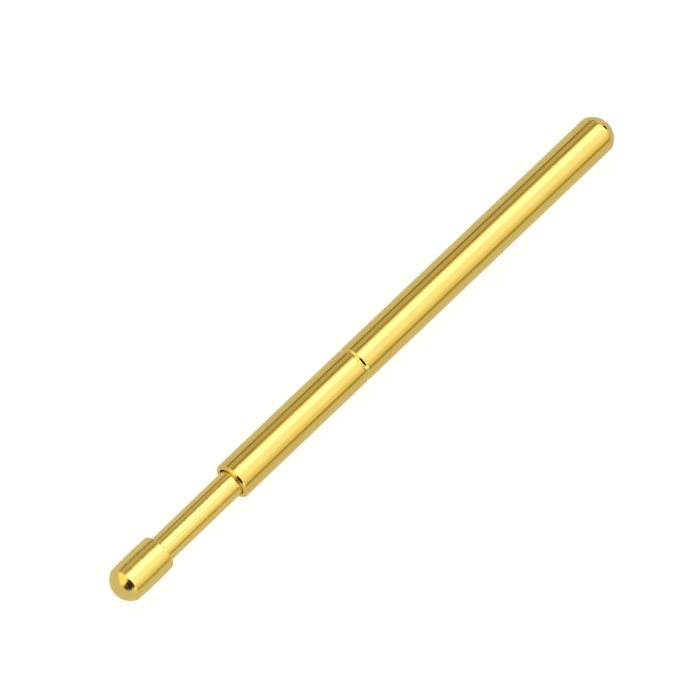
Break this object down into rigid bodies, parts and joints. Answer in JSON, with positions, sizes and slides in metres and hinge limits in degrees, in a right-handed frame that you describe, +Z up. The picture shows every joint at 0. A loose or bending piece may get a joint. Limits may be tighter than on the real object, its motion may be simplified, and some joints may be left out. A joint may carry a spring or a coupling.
{
  "type": "pogo pin",
  "caption": "Spring-loaded contact pin with a tubular barrel, a domed plunger held in it by a rolled groove, and a coil spring inside.",
  "frame": {"origin": "centre of the barrel's open mouth, on the pin's axis", "axes": "+X runs along the pin from the mouth to the barrel's closed end, so the plunger's tip points to -X; +Z is up with the pin lying on its side"},
  "size_m": [0.024, 0.0014, 0.0014],
  "materials": {
    "barrel_gold": "gold plated, bright",
    "plunger_gold": "gold plated over turned metal",
    "spring_gold": "gold plated spring wire"
  },
  "bodies": {
    "barrel": {"barrel": "barrel_gold", "spring": "spring_gold"},
    "plunger": {"plunger": "plunger_gold"}
  },
  "joints": [
    {"name": "plunger_slide", "type": "slide", "parent": "barrel", "child": "plunger", "axis": [1, 0, 0], "range_m": [0, 0.0032], "stiffness_N_per_m": 350, "deforming": ["spring"]}
  ]
}
